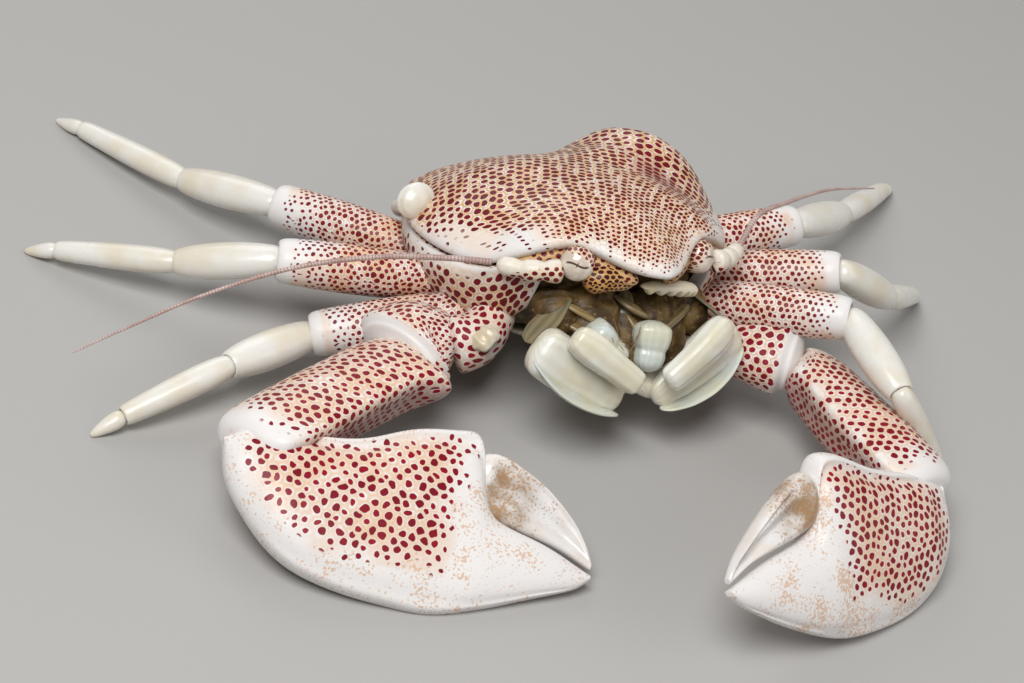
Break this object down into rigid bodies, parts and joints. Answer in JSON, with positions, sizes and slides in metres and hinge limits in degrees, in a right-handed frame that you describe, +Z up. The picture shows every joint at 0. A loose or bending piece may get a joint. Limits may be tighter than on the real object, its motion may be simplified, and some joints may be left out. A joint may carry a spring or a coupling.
{
  "type": "spotted porcelain crab",
  "caption": "Life-size still display model of a small spotted crab at rest, with broad flat claws, open mouthparts and long feelers, standing on its leg tips and claws.",
  "frame": {"origin": "on the floor, under the middle of the whole animal's box", "axes": "+Z up, -Y the way the crab faces, +X to the crab's left"},
  "size_m": [0.0948, 0.0826, 0.0193],
  "materials": {
    "spotted_shell": "glossy shell, dark red spots on cream",
    "white_shell": "glossy ivory shell",
    "mouthparts": "glossy ivory, slightly translucent",
    "flesh": "soft olive-brown body inside the shell",
    "eye": "wet gloss",
    "antenna": "pinkish grey, ringed"
  },
  "bodies": {
    "root": {"abdomen": "white_shell", "antenna_base_left": "mouthparts", "antenna_base_right": "mouthparts", "antennule_left": "spotted_shell", "antennule_right": "spotted_shell", "arm_carpus_left": "spotted_shell", "arm_carpus_right": "spotted_shell", "arm_ischium_left": "spotted_shell", "arm_ischium_right": "spotted_shell", "arm_merus_left": "spotted_shell", "arm_merus_right": "spotted_shell", "carapace": "spotted_shell", "eye_left": "eye", "eye_right": "eye", "finger_left": "white_shell", "finger_right": "white_shell", "flagellum_left": "antenna", "flagellum_right": "antenna", "leg_front_left_carpus": "white_shell", "leg_front_left_dactyl": "white_shell", "leg_front_left_merus": "spotted_shell", "leg_front_left_propodus": "white_shell", "leg_front_right_carpus": "white_shell", "leg_front_right_dactyl": "white_shell", "leg_front_right_merus": "spotted_shell", "leg_front_right_propodus": "white_shell", "leg_middle_left_carpus": "white_shell", "leg_middle_left_dactyl": "white_shell", "leg_middle_left_merus": "spotted_shell", "leg_middle_left_propodus": "white_shell", "leg_middle_right_carpus": "white_shell", "leg_middle_right_dactyl": "white_shell", "leg_middle_right_merus": "spotted_shell", "leg_middle_right_propodus": "white_shell", "leg_rear_left_carpus": "white_shell", "leg_rear_left_dactyl": "white_shell", "leg_rear_left_merus": "spotted_shell", "leg_rear_left_propodus": "white_shell", "leg_rear_right_carpus": "white_shell", "leg_rear_right_dactyl": "white_shell", "leg_rear_right_merus": "spotted_shell", "leg_rear_right_propodus": "white_shell", "leg_small_left": "mouthparts", "leg_small_right": "mouthparts", "maxilliped_carpus_left": "mouthparts", "maxilliped_carpus_right": "mouthparts", "maxilliped_ischium_left": "mouthparts", "maxilliped_ischium_right": "mouthparts", "maxilliped_merus_left": "mouthparts", "maxilliped_merus_right": "mouthparts", "maxilliped_palp_left": "mouthparts", "maxilliped_palp_right": "mouthparts", "palm_left": "spotted_shell", "palm_right": "spotted_shell", "side_wall_left": "spotted_shell", "side_wall_right": "spotted_shell", "tail_fan": "white_shell", "thorax": "flesh"}
  },
  "joints": []
}
